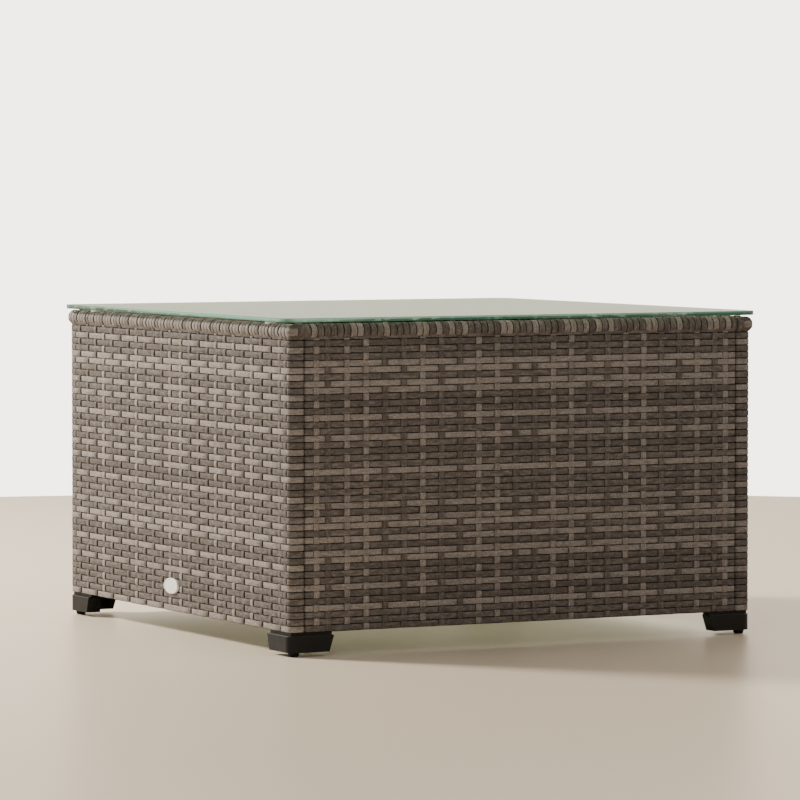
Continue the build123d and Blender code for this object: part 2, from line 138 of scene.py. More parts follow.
strandInputs = (
    ("Path", "NodeSocketObject", None),
    ("Width", "NodeSocketFloat", 7 * mm),
    ("Thickness", "NodeSocketFloat", 1.2 * mm),
    ("Edge", "NodeSocketFloat", 0.3 * mm),
    ("Flare", "NodeSocketFloat", 0.0),
    ("Step", "NodeSocketFloat", 3 * mm),
    ("Dip", "NodeSocketFloat", 0.0),
    ("First Crossing", "NodeSocketFloat", 0.0),
    ("Crossing Pitch", "NodeSocketFloat", 24 * mm),
    ("Last Crossing", "NodeSocketFloat", 1.0),
    ("Edge Pitch", "NodeSocketFloat", 24 * mm),
    ("Face Line", "NodeSocketFloat", -1.0),
    ("Bias", "NodeSocketFloat", 0.0),
    ("Sharpness", "NodeSocketFloat", 2.0),
    ("Wobble", "NodeSocketFloat", 0.2 * mm),
    ("Wobble Length", "NodeSocketFloat", 40 * mm),
    ("Seed", "NodeSocketFloat", 0.0),
    ("Finish", "NodeSocketMaterial", None),
)


def makeStrandTree():
    tree = bpy.data.node_groups.new("strandRows", "GeometryNodeTree")
    tree.interface.new_socket(name="Geometry", in_out="INPUT", socket_type="NodeSocketGeometry")
    for name, kind, default in strandInputs:
        made = tree.interface.new_socket(name=name, in_out="INPUT", socket_type=kind)
        if default is not None:
            made.default_value = default
    tree.interface.new_socket(name="Geometry", in_out="OUTPUT", socket_type="NodeSocketGeometry")
    given = addNode(tree, "NodeGroupInput").outputs
    result = addNode(tree, "NodeGroupOutput")

    # the path in even steps
    path = addNode(tree, "GeometryNodeObjectInfo")
    feed(tree, path.inputs["Object"], given["Path"])
    stepped = addNode(tree, "GeometryNodeResampleCurve", mode="LENGTH")
    feed(tree, stepped.inputs["Curve"], path.outputs["Geometry"])
    feed(tree, stepped.inputs["Length"], given["Step"])
    along = addNode(tree, "GeometryNodeSplineParameter").outputs["Length"]
    measured = storeValue(tree, stepped.outputs["Curve"], "along", along)

    # one copy for each row point
    copies = addNode(tree, "GeometryNodeInstanceOnPoints")
    feed(tree, copies.inputs["Points"], given["Geometry"])
    feed(tree, copies.inputs["Instance"], measured)
    real = addNode(tree, "GeometryNodeRealizeInstances")
    feed(tree, real.inputs["Geometry"], copies.outputs["Instances"])

    # how deep each point lies: 0 on the outer layer, 1 under the crossing strand
    place = addNode(tree, "GeometryNodeInputPosition").outputs["Position"]
    parts = addNode(tree, "ShaderNodeSeparateXYZ")
    feed(tree, parts.inputs[0], place)
    reach = calc(tree, "ABSOLUTE", parts.outputs["X"])
    beyond = calc(tree, "MAXIMUM", calc(tree, "SUBTRACT", reach, given["Last Crossing"]), 0.0)
    fromFirst = calc(tree, "SUBTRACT", reach, given["First Crossing"])
    regular = calc(tree, "DIVIDE", fromFirst, given["Crossing Pitch"])
    closer = calc(
        tree, "SUBTRACT", calc(tree, "DIVIDE", 1.0, given["Edge Pitch"]),
        calc(tree, "DIVIDE", 1.0, given["Crossing Pitch"]),
    )
    phase = calc(tree, "MULTIPLY_ADD", beyond, closer, regular)
    wave = calc(tree, "COSINE", calc(tree, "MULTIPLY", phase, math.pi))
    signed = calc(tree, "MULTIPLY", wave, namedValue(tree, "sign"))
    sharp = calc(tree, "MULTIPLY", calc(tree, "SUBTRACT", signed, given["Bias"]), given["Sharpness"])
    depth = calc(tree, "MULTIPLY_ADD", sharp, 0.5, 0.5, clamp=True)
    smooth = addNode(tree, "ShaderNodeMapRange", interpolation_type="SMOOTHSTEP")
    feed(tree, smooth.inputs["Value"], depth)
    onFace = calc(tree, "LESS_THAN", parts.outputs["Y"], given["Face Line"])
    # a pitch and a half past the last crossing the strand is round the corner
    faceEnd = calc(tree, "MULTIPLY_ADD", given["Edge Pitch"], 1.5, given["Last Crossing"])
    inside = calc(tree, "LESS_THAN", reach, faceEnd)
    masked = calc(tree, "MULTIPLY", calc(tree, "MULTIPLY", smooth.outputs["Result"], onFace), inside)
    dip = calc(tree, "MULTIPLY", masked, given["Dip"])

    # hand-laid strands are never quite even
    strandId = namedValue(tree, "strandId")
    noisePlace = joinVector(
        tree, calc(tree, "DIVIDE", parts.outputs["X"], given["Wobble Length"]),
        calc(tree, "DIVIDE", parts.outputs["Y"], given["Wobble Length"]),
        calc(tree, "MULTIPLY_ADD", strandId, strandWobble["idStep"], given["Seed"]),
    )
    noise = addNode(tree, "ShaderNodeTexNoise", noise_dimensions="3D")
    noise.inputs["Scale"].default_value = 1.0
    noise.inputs["Detail"].default_value = 1.0
    feed(tree, noise.inputs["Vector"], noisePlace)
    centred = vectorCalc(tree, "SUBTRACT", noise.outputs["Color"], (0.5, 0.5, 0.5))
    uneven = addNode(tree, "ShaderNodeSeparateXYZ")
    feed(tree, uneven.inputs[0], vectorCalc(tree, "SCALE", centred, scale=given["Wobble"]))
    tangent = addNode(tree, "GeometryNodeInputTangent").outputs["Tangent"]
    outward = vectorCalc(tree, "CROSS_PRODUCT", tangent, (0.0, 0.0, 1.0))
    inward = calc(tree, "MULTIPLY", uneven.outputs["X"], strandWobble["inward"])
    upDown = calc(tree, "MULTIPLY", uneven.outputs["Y"], strandWobble["upDown"])
    sink = calc(tree, "SUBTRACT", inward, dip)
    shift = vectorCalc(
        tree, "ADD", vectorCalc(tree, "SCALE", outward, scale=sink), joinVector(tree, 0.0, 0.0, upDown)
    )
    laid = addNode(tree, "GeometryNodeSetPosition")
    feed(tree, laid.inputs["Geometry"], real.outputs["Geometry"])
    feed(tree, laid.inputs["Offset"], shift)
    kept = laid.outputs["Geometry"]
    for name in ("shade", "strandId"):
        kept = storeValue(tree, kept, name, namedValue(tree, name))
    turned = addNode(tree, "GeometryNodeSetCurveNormal", mode="Z_UP")
    feed(tree, turned.inputs["Curve"], kept)

    # the flat section with soft edges
    section = addNode(tree, "GeometryNodeCurvePrimitiveQuadrilateral", mode="RECTANGLE")
    feed(tree, section.inputs["Width"], given["Thickness"])
    feed(tree, section.inputs["Height"], given["Width"])
    softened = addNode(tree, "GeometryNodeFilletCurve", mode="POLY")
    softened.inputs["Count"].default_value = 1
    feed(tree, softened.inputs["Curve"], section.outputs["Curve"])
    feed(tree, softened.inputs["Radius"], given["Edge"])
    sectionPlace = addNode(tree, "ShaderNodeSeparateXYZ")
    feed(tree, sectionPlace.inputs[0], place)
    backness = calc(
        tree, "SUBTRACT", 0.5, calc(tree, "DIVIDE", sectionPlace.outputs["X"], given["Thickness"])
    )
    sideways = calc(tree, "SIGN", sectionPlace.outputs["Y"])
    widening = calc(tree, "MULTIPLY", calc(tree, "MULTIPLY", sideways, given["Flare"]), backness)
    flared = addNode(tree, "GeometryNodeSetPosition")
    feed(tree, flared.inputs["Geometry"], softened.outputs["Curve"])
    feed(tree, flared.inputs["Offset"], joinVector(tree, 0.0, widening, 0.0))
    profile = storeValue(tree, flared.outputs["Geometry"], "across", sectionPlace.outputs["Y"])
    # how far across the strand a point lies, in half widths; the material paints shade on the narrow
    # edges with it
    halfWidth = calc(tree, "MULTIPLY", given["Width"], 0.5)
    fromMiddle = calc(tree, "ABSOLUTE", sectionPlace.outputs["Y"])
    profile = storeValue(tree, profile, "rim", calc(tree, "DIVIDE", fromMiddle, halfWidth))
    swept = addNode(tree, "GeometryNodeCurveToMesh")
    swept.inputs["Fill Caps"].default_value = True
    feed(tree, swept.inputs["Curve"], turned.outputs["Curve"])
    feed(tree, swept.inputs["Profile Curve"], profile)
    soft = addNode(tree, "GeometryNodeSetShadeSmooth")
    feed(tree, soft.inputs["Geometry"], swept.outputs["Mesh"])
    whole = addNode(tree, "GeometryNodeRealizeInstances")
    feed(tree, whole.inputs["Geometry"], soft.outputs["Geometry"])
    finished = addNode(tree, "GeometryNodeSetMaterial")
    feed(tree, finished.inputs["Geometry"], whole.outputs["Geometry"])
    feed(tree, finished.inputs["Material"], given["Finish"])
    feed(tree, result.inputs["Geometry"], finished.outputs["Geometry"])
    return tree


strandTree = makeStrandTree()


def setInput(modifier, name, value):
    for item in modifier.node_group.interface.items_tree:
        if item.item_type == "SOCKET" and item.in_out == "INPUT" and item.name == name:
            modifier[item.identifier] = value
            return
    raise KeyError(name)


def pathObject(points, closed=False):
    curve = bpy.data.curves.new("path", "CURVE")
    curve.dimensions = "3D"
    spline = curve.splines.new("POLY")
    spline.points.add(len(points) - 1)
    for point, (x, y) in zip(spline.points, points):
        point.co = (x, y, 0.0, 1.0)
    spline.use_cyclic_u = closed
    made = bpy.data.objects.new("path", curve)
    bpy.context.collection.objects.link(made)
    return made


# a line through corner points, each corner rounded by its own radius
def roundedLine(corners, radii, stepsEach=4):
    mostOfRun = 0.49  # so that two corners never meet
    line = [corners[0]]
    for before, corner, after, radius in zip(corners, corners[1:], corners[2:], radii):
        here, back, ahead = Vector(corner), Vector(before), Vector(after)
        arriving, leaving = (back - here).normalized(), (ahead - here).normalized()
        half = arriving.angle(leaving) / 2
        shorter = min((back - here).length, (ahead - here).length)
        reach = min(radius / math.tan(half), shorter * mostOfRun)
        middle = here + (arriving + leaving).normalized() * (reach / math.cos(half))
        start, end = here + arriving * reach - middle, here + leaving * reach - middle
        sweep = start.angle_signed(end)
        for step in range(stepsEach + 1):
            turned = Matrix.Rotation(-sweep * step / stepsEach, 2) @ start
            line.append(tuple(middle + turned))
    line.append(corners[-1])
    return line


def rowPoints(rows):
    mesh = bpy.data.meshes.new("rows")
    mesh.from_pydata([(0.0, 0.0, row["height"]) for row in rows], [], [])
    for name in ("sign", "shade"):
        values = mesh.attributes.new(name, "FLOAT", "POINT")
        values.data.foreach_set("value", [row[name] for row in rows])
    ids = mesh.attributes.new("strandId", "FLOAT", "POINT")
    ids.data.foreach_set("value", [float(count) for count in range(len(rows))])
    made = bpy.data.objects.new("rows", mesh)
    bpy.context.collection.objects.link(made)
    return made


def layStrands(name, path, rows, placing, closed=False, **inputs):
    carrier = rowPoints(rows)
    guide = pathObject(path, closed)
    modifier = carrier.modifiers.new("strands", "NODES")
    modifier.node_group = strandTree
    setInput(modifier, "Path", guide)
    for key, value in inputs.items():
        setInput(modifier, key, value)
    graph = bpy.context.evaluated_depsgraph_get()
    mesh = bpy.data.meshes.new_from_object(carrier.evaluated_get(graph), depsgraph=graph)
    mesh.name = name
    mesh.transform(placing)
    shell = bmesh.new()
    shell.from_mesh(mesh)
    bmesh.ops.recalc_face_normals(shell, faces=shell.faces)
    shell.to_mesh(mesh)
    shell.free()
    bpy.data.objects.remove(carrier)
    bpy.data.objects.remove(guide)
    piece = bpy.data.objects.new(name, mesh)
    bpy.context.collection.objects.link(piece)
    return piece


# materials

noiseRange = dict(narrow=(0.3, 0.7), medium=(0.25, 0.75), wide=(0.2, 0.8))  # where most noise values lie


def newMaterial(name, color, roughness, **more):
    material = bpy.data.materials.new(name)
    material.use_nodes = True
    shader = material.node_tree.nodes["Principled BSDF"]
    shader.inputs["Base Color"].default_value = (*color, 1.0)
    shader.inputs["Roughness"].default_value = roughness
    for key, value in more.items():
        shader.inputs[key].default_value = value
    return material, material.node_tree, shader


def attribute(tree, name):
    return addNode(tree, "ShaderNodeAttribute", attribute_name=name).outputs["Fac"]


def noiseOn(tree, vector, scale=1.0, detail=2.0, roughness=0.5):
    node = addNode(tree, "ShaderNodeTexNoise")
    node.inputs["Scale"].default_value = scale
    node.inputs["Detail"].default_value = detail
    node.inputs["Roughness"].default_value = roughness
    feed(tree, node.inputs["Vector"], vector)
    return node.outputs["Fac"]


def objectPlace(tree):
    return addNode(tree, "ShaderNodeTexCoord").outputs["Object"]


def remap(tree, value, fromLow, fromHigh, toLow, toHigh):
    node = addNode(tree, "ShaderNodeMapRange")
    for place, number in enumerate((value, fromLow, fromHigh, toLow, toHigh)):
        feed(tree, node.inputs[place], number)
    return node.outputs["Result"]


def mixColor(tree, factor, a, b, blend="MIX"):
    node = addNode(tree, "ShaderNodeMix", data_type="RGBA", blend_type=blend)
    feed(tree, node.inputs["Factor"], factor)
    feed(tree, node.inputs["A"], a)
    feed(tree, node.inputs["B"], b)
    return node.outputs["Result"]


def addBump(tree, shader, height, strength, distance):
    node = addNode(tree, "ShaderNodeBump")
    node.inputs["Strength"].default_value = strength
    node.inputs["Distance"].default_value = distance
    feed(tree, node.inputs["Height"], height)
    feed(tree, shader.inputs["Normal"], node.outputs["Normal"])


strandLook = dict(
    dark=(0.092, 0.079, 0.070, 1.0),
    light=(0.256, 0.224, 0.200, 1.0),
    grain=(150.0, 1500.0, 5.3),  # per metre along and across, and from one strand to the next
    drift=(110.0, 300.0, 2.9),
    specksPerMetre=560.0,
    driftTone=0.26,
    grainTone=(0.70, 1.32),
    speckTone=(0.66, 1.36),
    roughness=(0.5, 0.72),
    gloss=0.07,
    rim=(0.91, 1.03),  # where the painted shade on the narrow edges begins and ends, in half widths
    paintedGapShade=0.1,  # how dark the painted shade makes them against the flat face
    speckHeight=0.6,  # against the grain's
    bumpStrength=0.4,
    bumpHeight=0.3 * mm,
)


# flat extruded strand: fine lengthwise grain, small specks and a tone that drifts along each length; its
# narrow edges get painted shade, standing in for the dark lines between rows
def makeStrandMaterial():
    low, high = strandLook["roughness"]
    material, tree, shader = newMaterial(
        "strandPlastic", strandLook["dark"][:3], low, **{"Specular IOR Level": strandLook["gloss"]}
    )
    shade = attribute(tree, "shade")
    run = [attribute(tree, name) for name in ("along", "across", "strandId")]

    def alongStrand(scales):
        scaled = [calc(tree, "MULTIPLY", value, scale) for value, scale in zip(run, scales)]
        return joinVector(tree, *scaled)

    grain = noiseOn(tree, alongStrand(strandLook["grain"]), detail=3.0, roughness=0.6)
    drift = noiseOn(tree, alongStrand(strandLook["drift"]))
    specks = noiseOn(tree, objectPlace(tree), strandLook["specksPerMetre"], roughness=0.7)
    narrow, medium, wide = noiseRange.values()
    drifted = remap(tree, drift, *narrow, -strandLook["driftTone"], strandLook["driftTone"])
    tone = calc(tree, "ADD", shade, drifted, clamp=True)
    color = mixColor(tree, tone, strandLook["dark"], strandLook["light"])
    streak = remap(tree, grain, *medium, *strandLook["grainTone"])
    speckled = calc(tree, "MULTIPLY", streak, remap(tree, specks, *narrow, *strandLook["speckTone"]))
    # painted shade: the narrow edges are darkened where the lines between rows fall in shade
    rim = remap(tree, attribute(tree, "rim"), *strandLook["rim"], 1.0, strandLook["paintedGapShade"])
    speckled = calc(tree, "MULTIPLY", speckled, rim)
    feed(tree, shader.inputs["Base Color"], vectorCalc(tree, "SCALE", color, scale=speckled))
    feed(tree, shader.inputs["Roughness"], remap(tree, grain, *wide, low, high))
    raised = calc(tree, "ADD", grain, calc(tree, "MULTIPLY", specks, strandLook["speckHeight"]))
    addBump(tree, shader, raised, strandLook["bumpStrength"], strandLook["bumpHeight"])
    return material


mouldedLooks = dict(
    footPlastic=dict(color=(0.0042, 0.0042, 0.0040), roughness=0.45, gloss=0.1),
    glideNylon=dict(color=(0.004, 0.004, 0.004), roughness=0.5, gloss=0.1),
    capPlastic=dict(color=(0.045, 0.036, 0.030), roughness=0.55),
    insertNylon=dict(color=(0.04, 0.04, 0.04), roughness=0.5),
    powderCoat=dict(color=(0.050, 0.040, 0.034), roughness=0.48, grainScale=1800.0, bump=0.2),
    clearPad=dict(color=(0.62, 0.66, 0.63), roughness=0.3),
)
mottling = dict(
    perMetre=60.0,
    lighter=1.35,
    lift=0.004,
    smoother=0.06,
    rougher=0.08,
    bumpHeight=0.2 * mm,
)


# plain moulded or coated surface: a fine grain, and a broad change of tone and polish
def makeMoulded(name, color, roughness, grainScale=2600.0, bump=0.12, gloss=0.3):
    material, tree, shader = newMaterial(name, color, roughness, **{"Specular IOR Level": gloss})
    place = objectPlace(tree)
    fine = noiseOn(tree, place, grainScale)
    broad = noiseOn(tree, place, mottling["perMetre"], detail=3.0)
    lighter = tuple(min(1.0, channel * mottling["lighter"] + mottling["lift"]) for channel in color)
    feed(tree, shader.inputs["Base Color"], mixColor(tree, broad, (*color, 1.0), (*lighter, 1.0)))
    low, high = roughness - mottling["smoother"], roughness + mottling["rougher"]
    feed(tree, shader.inputs["Roughness"], remap(tree, broad, *noiseRange["wide"], low, high))
    addBump(tree, shader, fine, bump, mottling["bumpHeight"])
    return material


steelLook = dict(
    color=(0.62, 0.62, 0.60),
    roughness=0.34,
    brushing=(300.0, 3000.0, 3000.0),
    dullingPerMetre=90.0,
    dullTone=0.6,
    smoother=0.08,
    rougher=0.12,
    bump=0.08,
    bumpHeight=0.1 * mm,
)


# zinc-plated steel, lightly brushed and dulled in patches
def makeSteel():
    color, roughness = steelLook["color"], steelLook["roughness"]
    material, tree, shader = newMaterial("zincSteel", color, roughness, Metallic=1.0)
    place = objectPlace(tree)
    brushed = noiseOn(tree, vectorCalc(tree, "MULTIPLY", place, steelLook["brushing"]))
    dulled = noiseOn(tree, place, steelLook["dullingPerMetre"], detail=3.0)
    darker = tuple(channel * steelLook["dullTone"] for channel in color)
    feed(tree, shader.inputs["Base Color"], mixColor(tree, dulled, (*darker, 1.0), (*color, 1.0)))
    low, high = roughness - steelLook["smoother"], roughness + steelLook["rougher"]
    feed(tree, shader.inputs["Roughness"], remap(tree, brushed, *noiseRange["wide"], low, high))
    addBump(tree, shader, brushed, steelLook["bump"], steelLook["bumpHeight"])
    return material


glassLook = dict(
    body=(0.62, 0.74, 0.69),
    edgeDark=(0.040, 0.145, 0.090, 1.0),
    paintedEdgeLight=(0.42, 0.76, 0.60, 1.0),
    paintedSideDark=(0.006, 0.020, 0.011, 1.0),  # the left and right edges, painted darker than the front and back for how the light falls on them
    paintedSideLight=(0.17, 0.42, 0.29, 1.0),
    edgeTurn=(0.85, 0.6),  # how level the surface is where the edge begins and where it is all edge
    sideTurn=(0.3, 0.7),
    streaks=(75.0, 75.0, 160.0),  # per metre
    streakRange=(0.54, 0.70),
    paintedStreakTone=0.8,
    patches=(7.0, 7.0, 0.0),
    patchRange=(0.50, 0.66),
    paintedPatchTone=0.2,
    rimFrom=2.3 * mm,  # a painted highlight line, this far below the top
    rimTo=1.6 * mm,
    paintedRimTone=0.75,
    rimFade=(0.42, 0.60),  # from the front left corner, in metres
    rimFar=0.25,
    # how bright the painted glow is at the front left corner
    corner=0.72,
    paintedGlowStart=0.25,
    sideReach=0.52,  # how far the painted glow runs from that corner along the side and the front
    frontReach=0.12,
    paintedShadeFrom=0.5 * mm,  # painted shade along the underside, darkest this far above it
    paintedShadeTo=1.9 * mm,
    # how dark the painted shade is at the underside
    shade=0.25,
    edgeRoughness=0.25,
    edgeGloss=0.12,
    edgeClear=0.1,
)


# clear sheet with a green ground edge, onto which light and shade are painted: painted highlights in
# streaks, patches along the edge and a line under the top, a painted glow round the front left corner,
# painted shade towards the underside, and left and right edges painted darker
def makeGlassMaterial():
    material, tree, shader = newMaterial(
        "glassSheet", glassLook["body"], 0.0, IOR=1.52, **{"Transmission Weight": 1.0}
    )
    place = objectPlace(tree)
    normal = addNode(tree, "ShaderNodeSeparateXYZ")
    feed(tree, normal.inputs[0], addNode(tree, "ShaderNodeNewGeometry").outputs["Normal"])
    level = calc(tree, "ABSOLUTE", normal.outputs["Z"])
    edge = remap(tree, level, *glassLook["edgeTurn"], 0.0, 1.0)
    facesSide = calc(tree, "ABSOLUTE", normal.outputs["X"])
    parts = addNode(tree, "ShaderNodeSeparateXYZ")
    feed(tree, parts.inputs[0], place)
    height = parts.outputs["Z"]
    low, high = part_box("glass_top")
    corner = addNode(tree, "ShaderNodeVectorMath", operation="DISTANCE")
    feed(tree, corner.inputs[0], place)
    corner.inputs[1].default_value = (low.x, low.y, (low.z + high.z) / 2)
    fromCorner = corner.outputs["Value"]

    # painted light: streaks, patches and a painted highlight line under the top
    streakPlace = vectorCalc(tree, "MULTIPLY", place, glassLook["streaks"])
    streaks = noiseOn(tree, streakPlace, detail=3.0, roughness=0.7)
    patches = noiseOn(tree, vectorCalc(tree, "MULTIPLY", place, glassLook["patches"]), detail=1.0)
    rimStart, rimEnd = high.z - glassLook["rimFrom"], high.z - glassLook["rimTo"]
    rim = remap(tree, height, rimStart, rimEnd, 0.0, glassLook["paintedRimTone"])
    faded = remap(tree, fromCorner, *glassLook["rimFade"], 1.0, glassLook["rimFar"])
    rim = calc(tree, "MULTIPLY", rim, faded)
    paintedStreaks = remap(tree, streaks, *glassLook["streakRange"], 0.0, glassLook["paintedStreakTone"])
    lit = calc(tree, "ADD", paintedStreaks, rim)
    paintedPatches = remap(tree, patches, *glassLook["patchRange"], 0.0, glassLook["paintedPatchTone"])
    bright = calc(tree, "ADD", lit, paintedPatches, clamp=True)

    # the painted glow round the front left corner, and painted shade towards the underside
    reach = remap(
        tree, facesSide, *glassLook["sideTurn"], glassLook["frontReach"], glassLook["sideReach"]
    )
    gone = calc(tree, "DIVIDE", fromCorner, reach)
    paintedGlow = remap(tree, gone, glassLook["paintedGlowStart"], 1.0, glassLook["corner"], 0.0)
    shadeStart, shadeEnd = low.z + glassLook["paintedShadeFrom"], low.z + glassLook["paintedShadeTo"]
    paintedUnderShade = remap(tree, height, shadeStart, shadeEnd, glassLook["shade"], 1.0)
    paintedEdgeTone = calc(tree, "MULTIPLY", calc(tree, "ADD", bright, paintedGlow, clamp=True), paintedUnderShade)
    frontColor = mixColor(tree, paintedEdgeTone, glassLook["edgeDark"], glassLook["paintedEdgeLight"])
    paintedSideColor = mixColor(tree, paintedEdgeTone, glassLook["paintedSideDark"], glassLook["paintedSideLight"])
    # painted light: the left and right edges take darker painted colours than the front and back
    sideShare = remap(tree, facesSide, *glassLook["sideTurn"], 0.0, 1.0)
    edgeColor = mixColor(tree, sideShare, frontColor, paintedSideColor)
    edgeShader = addNode(tree, "ShaderNodeBsdfPrincipled")
    edgeShader.inputs["Roughness"].default_value = glassLook["edgeRoughness"]
    edgeShader.inputs["Specular IOR Level"].default_value = glassLook["edgeGloss"]
    edgeShader.inputs["Transmission Weight"].default_value = glassLook["edgeClear"]
    feed(tree, edgeShader.inputs["Base Color"], edgeColor)
    mixer = addNode(tree, "ShaderNodeMixShader")
    feed(tree, mixer.inputs[0], edge)
    feed(tree, mixer.inputs[1], shader.outputs["BSDF"])
    feed(tree, mixer.inputs[2], edgeShader.outputs["BSDF"])
    output = tree.nodes["Material Output"]
    feed(tree, output.inputs["Surface"], mixer.outputs[0])
    return material


badgeLook = dict(
    dull=(0.66, 0.65, 0.60, 1.0),
    bright=(0.86, 0.85, 0.80, 1.0),
    roughness=(0.25, 0.42),
    mottlingPerMetre=420.0,
    bump=0.1,
    bumpHeight=0.2 * mm,
)


# off-white lacquered plate, slightly mottled; its field and raised rim are in its shape
def makeBadgeMaterial():
    low, high = badgeLook["roughness"]
    material, tree, shader = newMaterial("badgeLacquer", badgeLook["bright"][:3], low)
    mottled = noiseOn(tree, objectPlace(tree), badgeLook["mottlingPerMetre"], detail=3.0)
    tint = mixColor(tree, mottled, badgeLook["dull"], badgeLook["bright"])
    feed(tree, shader.inputs["Base Color"], tint)
    feed(tree, shader.inputs["Roughness"], remap(tree, mottled, *noiseRange["narrow"], low, high))
    addBump(tree, shader, mottled, badgeLook["bump"], badgeLook["bumpHeight"])
    return material


strandPlastic = makeStrandMaterial()
moulded = {name: makeMoulded(name, **look) for name, look in mouldedLooks.items()}

# the strand slot's sleeves are replaced further down, which leaves its end caps
slotLooks = dict(
    glass=makeGlassMaterial(),
    clear_pad=moulded["clearPad"],
    strand=moulded["capPlastic"],
    steel_frame=moulded["powderCoat"],
    foot_plastic=moulded["footPlastic"],
    insert_plastic=moulded["insertNylon"],
    glide_nylon=moulded["glideNylon"],
    zinc_steel=makeSteel(),
    badge_plate=makeBadgeMaterial(),
)
for row in frame["record"]["subparts"]:
    target = nodes[row["node"]]
    if not target.material_slots:
        target.data.materials.append(None)
    for held in target.material_slots:
        held.material = slotLooks[row["material_slot"]]
print("materials made")


# the four woven panels

# tones of the strands, top row first and left end first: L light, D dark
sidePanel = dict(
    rowTones="DLDDLLDDLDLDDLDDLDLDLDDLDDDLDLLDDLDDLDDDDDL",
    warpTones="DDDDLDDDLDDDLLDDDLDLDLDDDD",
    firstWarp=14.6 * mm,
    warpPitch=23.7 * mm,
    lastWarp=275.3 * mm,
    edgeWarp=289.3 * mm,
    topRowUnder=-1,
)
endPanel = dict(
    rowTones="DDDLLDLLDDDLDDLDDDDLDDDDLDLLDLDLLDDDLDDLDDD",
    warpTones="LDLLDDLDDLLDDLLDDLLDDLDL",
    firstWarp=12.5 * mm,
    warpPitch=24.1 * mm,
    lastWarp=253.5 * mm,
    edgeWarp=268.0 * mm,
    topRowUnder=1,
)
tones = dict(L=0.86, D=0.14, spread=0.13)
weftTurn = dict(
    postRadius=4.6 * mm,
    uprightRadius=1.4 * mm,
    innerRadius=2.2 * mm,
    uprightCover=1.5 * mm,  # a layer of strand outside the upright
    tail=3.0 * mm,  # short of the face, where the strand ends inside
)
warpTurn = dict(
    underRail=1.6 * mm,
    clearance=0.2 * mm,
    tail=6.0 * mm,  # up behind the bottom rail
    radius=2.8 * mm,
)
# what the strand tree is given for all of a panel, its rows and its upright strands
weave = {"Thickness": strand["thickness"], "Edge": strand["edge"], "Dip": strand["layer"],
         "Face Line": -(faceY - strand["faceDepth"]), "Finish": strandPlastic}
weftWave = {"Width": strand["weftWidth"], "Flare": strand["flare"], "Step": 3.0 * mm, "Bias": 0.64,
            "Sharpness": 3.6, "Wobble": 0.28 * mm, "Wobble Length": 45 * mm}
warpWave = {"Width": strand["warpWidth"], "Step": 1.9 * mm, "Bias": 0.0,
            "Sharpness": 2.0, "Wobble": 0.3 * mm, "Wobble Length": 60 * mm}


def toneOf(letter, dice):
    return tones[letter] + dice.uniform(-tones["spread"], tones["spread"])


def aboutZ(turn):
    return Matrix.Rotation(turn, 4, "Z")


# stands stacked rows side by side along the face, so that each strand's x runs down
def rowsAcross(y=0.0, z=0.0):
    return Matrix(((0, 0, 1, 0), (0, 1, 0, y), (-1, 0, 0, z), (0, 0, 0, 1)))


# round one post or upright, then along the face, then round the other
def weftPath(halfWidth, bodyHigh, outerRadius):
    lift = strand["thickness"] / 2
    outerX = halfWidth - lift
    outerY = -(faceY - lift)
    innerX = -bodyHigh.x - lift
    innerY = bodyHigh.y + lift
    half = [(-innerX, outerY + weftTurn["tail"]), (-innerX, innerY), (-outerX, innerY), (-outerX, outerY)]
    corners = half + [(-x, y) for x, y in reversed(half)]
    small = weftTurn["innerRadius"]
    return roundedLine(corners, [small, small, outerRadius, outerRadius, small, small])


# down the face, round the bottom rail and a little way up behind it
def warpPath():
    lift = strand["thickness"] / 2
    front = -(faceY - lift)
    top = railLow.z + warpTurn["underRail"]
    bottom = panelLow.z + lift
    behind = lowRailHigh.y + lift + warpTurn["clearance"]
    end = lowRailHigh.z + warpTurn["tail"]
    corners = [(-top, front), (-bottom, front), (-bottom, behind), (-end, behind)]
    return roundedLine(corners, [warpTurn["radius"], warpTurn["radius"]])


def weavePanel(name, plan, halfWidth, bodyHigh, cornerRadius, turn, seed):
    dice = random.Random(seed)
    rowCount = strand["rowCount"]
    bottom, height = panelLow.z, panelHigh.z - panelLow.z
    pitch = height / rowCount
    rows = []
    for row in range(rowCount + 1):  # the last row is tucked up under the rail
        fromTop = rowCount - 1 - row
        rows.append(dict(
            height=bottom + (row + 0.5) * pitch,
            sign=plan["topRowUnder"] * (1 if fromTop % 2 == 0 else -1),
            shade=toneOf(plan["rowTones"][max(fromTop, 0)], dice),
        ))
    wefts = layStrands(
        name + "Wefts", weftPath(halfWidth, bodyHigh, cornerRadius), rows, aboutZ(turn),
        **weave, **weftWave,
        **{"First Crossing": plan["firstWarp"], "Crossing Pitch": plan["warpPitch"],
           "Last Crossing": plan["lastWarp"], "Edge Pitch": plan["edgeWarp"] - plan["lastWarp"],
           "Seed": float(seed)},
    )

    evenCount = round((plan["lastWarp"] - plan["firstWarp"]) / plan["warpPitch"]) + 1
    reaches = [plan["firstWarp"] + count * plan["warpPitch"] for count in range(evenCount)]
    half = list(enumerate(reaches + [plan["edgeWarp"]]))
    lowestSign = rows[0]["sign"]
    warps = []
    for place, (count, reach) in enumerate([(c, -r) for c, r in reversed(half)] + half):
        warps.append(dict(
            height=reach,
            sign=-lowestSign * (1 if count % 2 == 0 else -1),
            shade=toneOf(plan["warpTones"][place], dice),
        ))
    stakes = layStrands(
        name + "Warps", warpPath(), warps, aboutZ(turn) @ rowsAcross(),
        **weave, **warpWave,
        **{"First Crossing": rows[0]["height"], "Crossing Pitch": pitch, "Last Crossing": 1.0,
           "Edge Pitch": pitch, "Seed": seed + 50.0},
    )
    return [wefts, stakes]


